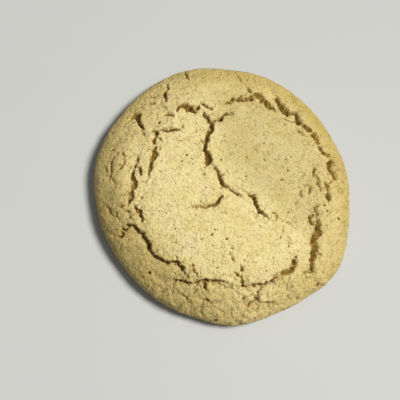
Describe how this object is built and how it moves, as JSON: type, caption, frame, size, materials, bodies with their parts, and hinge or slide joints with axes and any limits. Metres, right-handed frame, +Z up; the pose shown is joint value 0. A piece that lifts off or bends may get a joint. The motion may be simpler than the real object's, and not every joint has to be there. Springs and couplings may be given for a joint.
{
  "type": "snickerdoodle",
  "caption": "Round, puffy baked biscuit with a flat underside, a low domed top and a crust that has cracked into plates.",
  "frame": {"origin": "middle of the flat underside, on the surface the biscuit lies on", "axes": "+Z straight up out of the cracked top; +X and +Y lie in the underside, with the deep split of the rim at the bearing of the south-west, between -X and -Y"},
  "size_m": [0.0753, 0.0757, 0.0127],
  "materials": {
    "cookie": "matt, dry and finely grained"
  },
  "bodies": {
    "root": {"cookie": "cookie"}
  },
  "joints": []
}
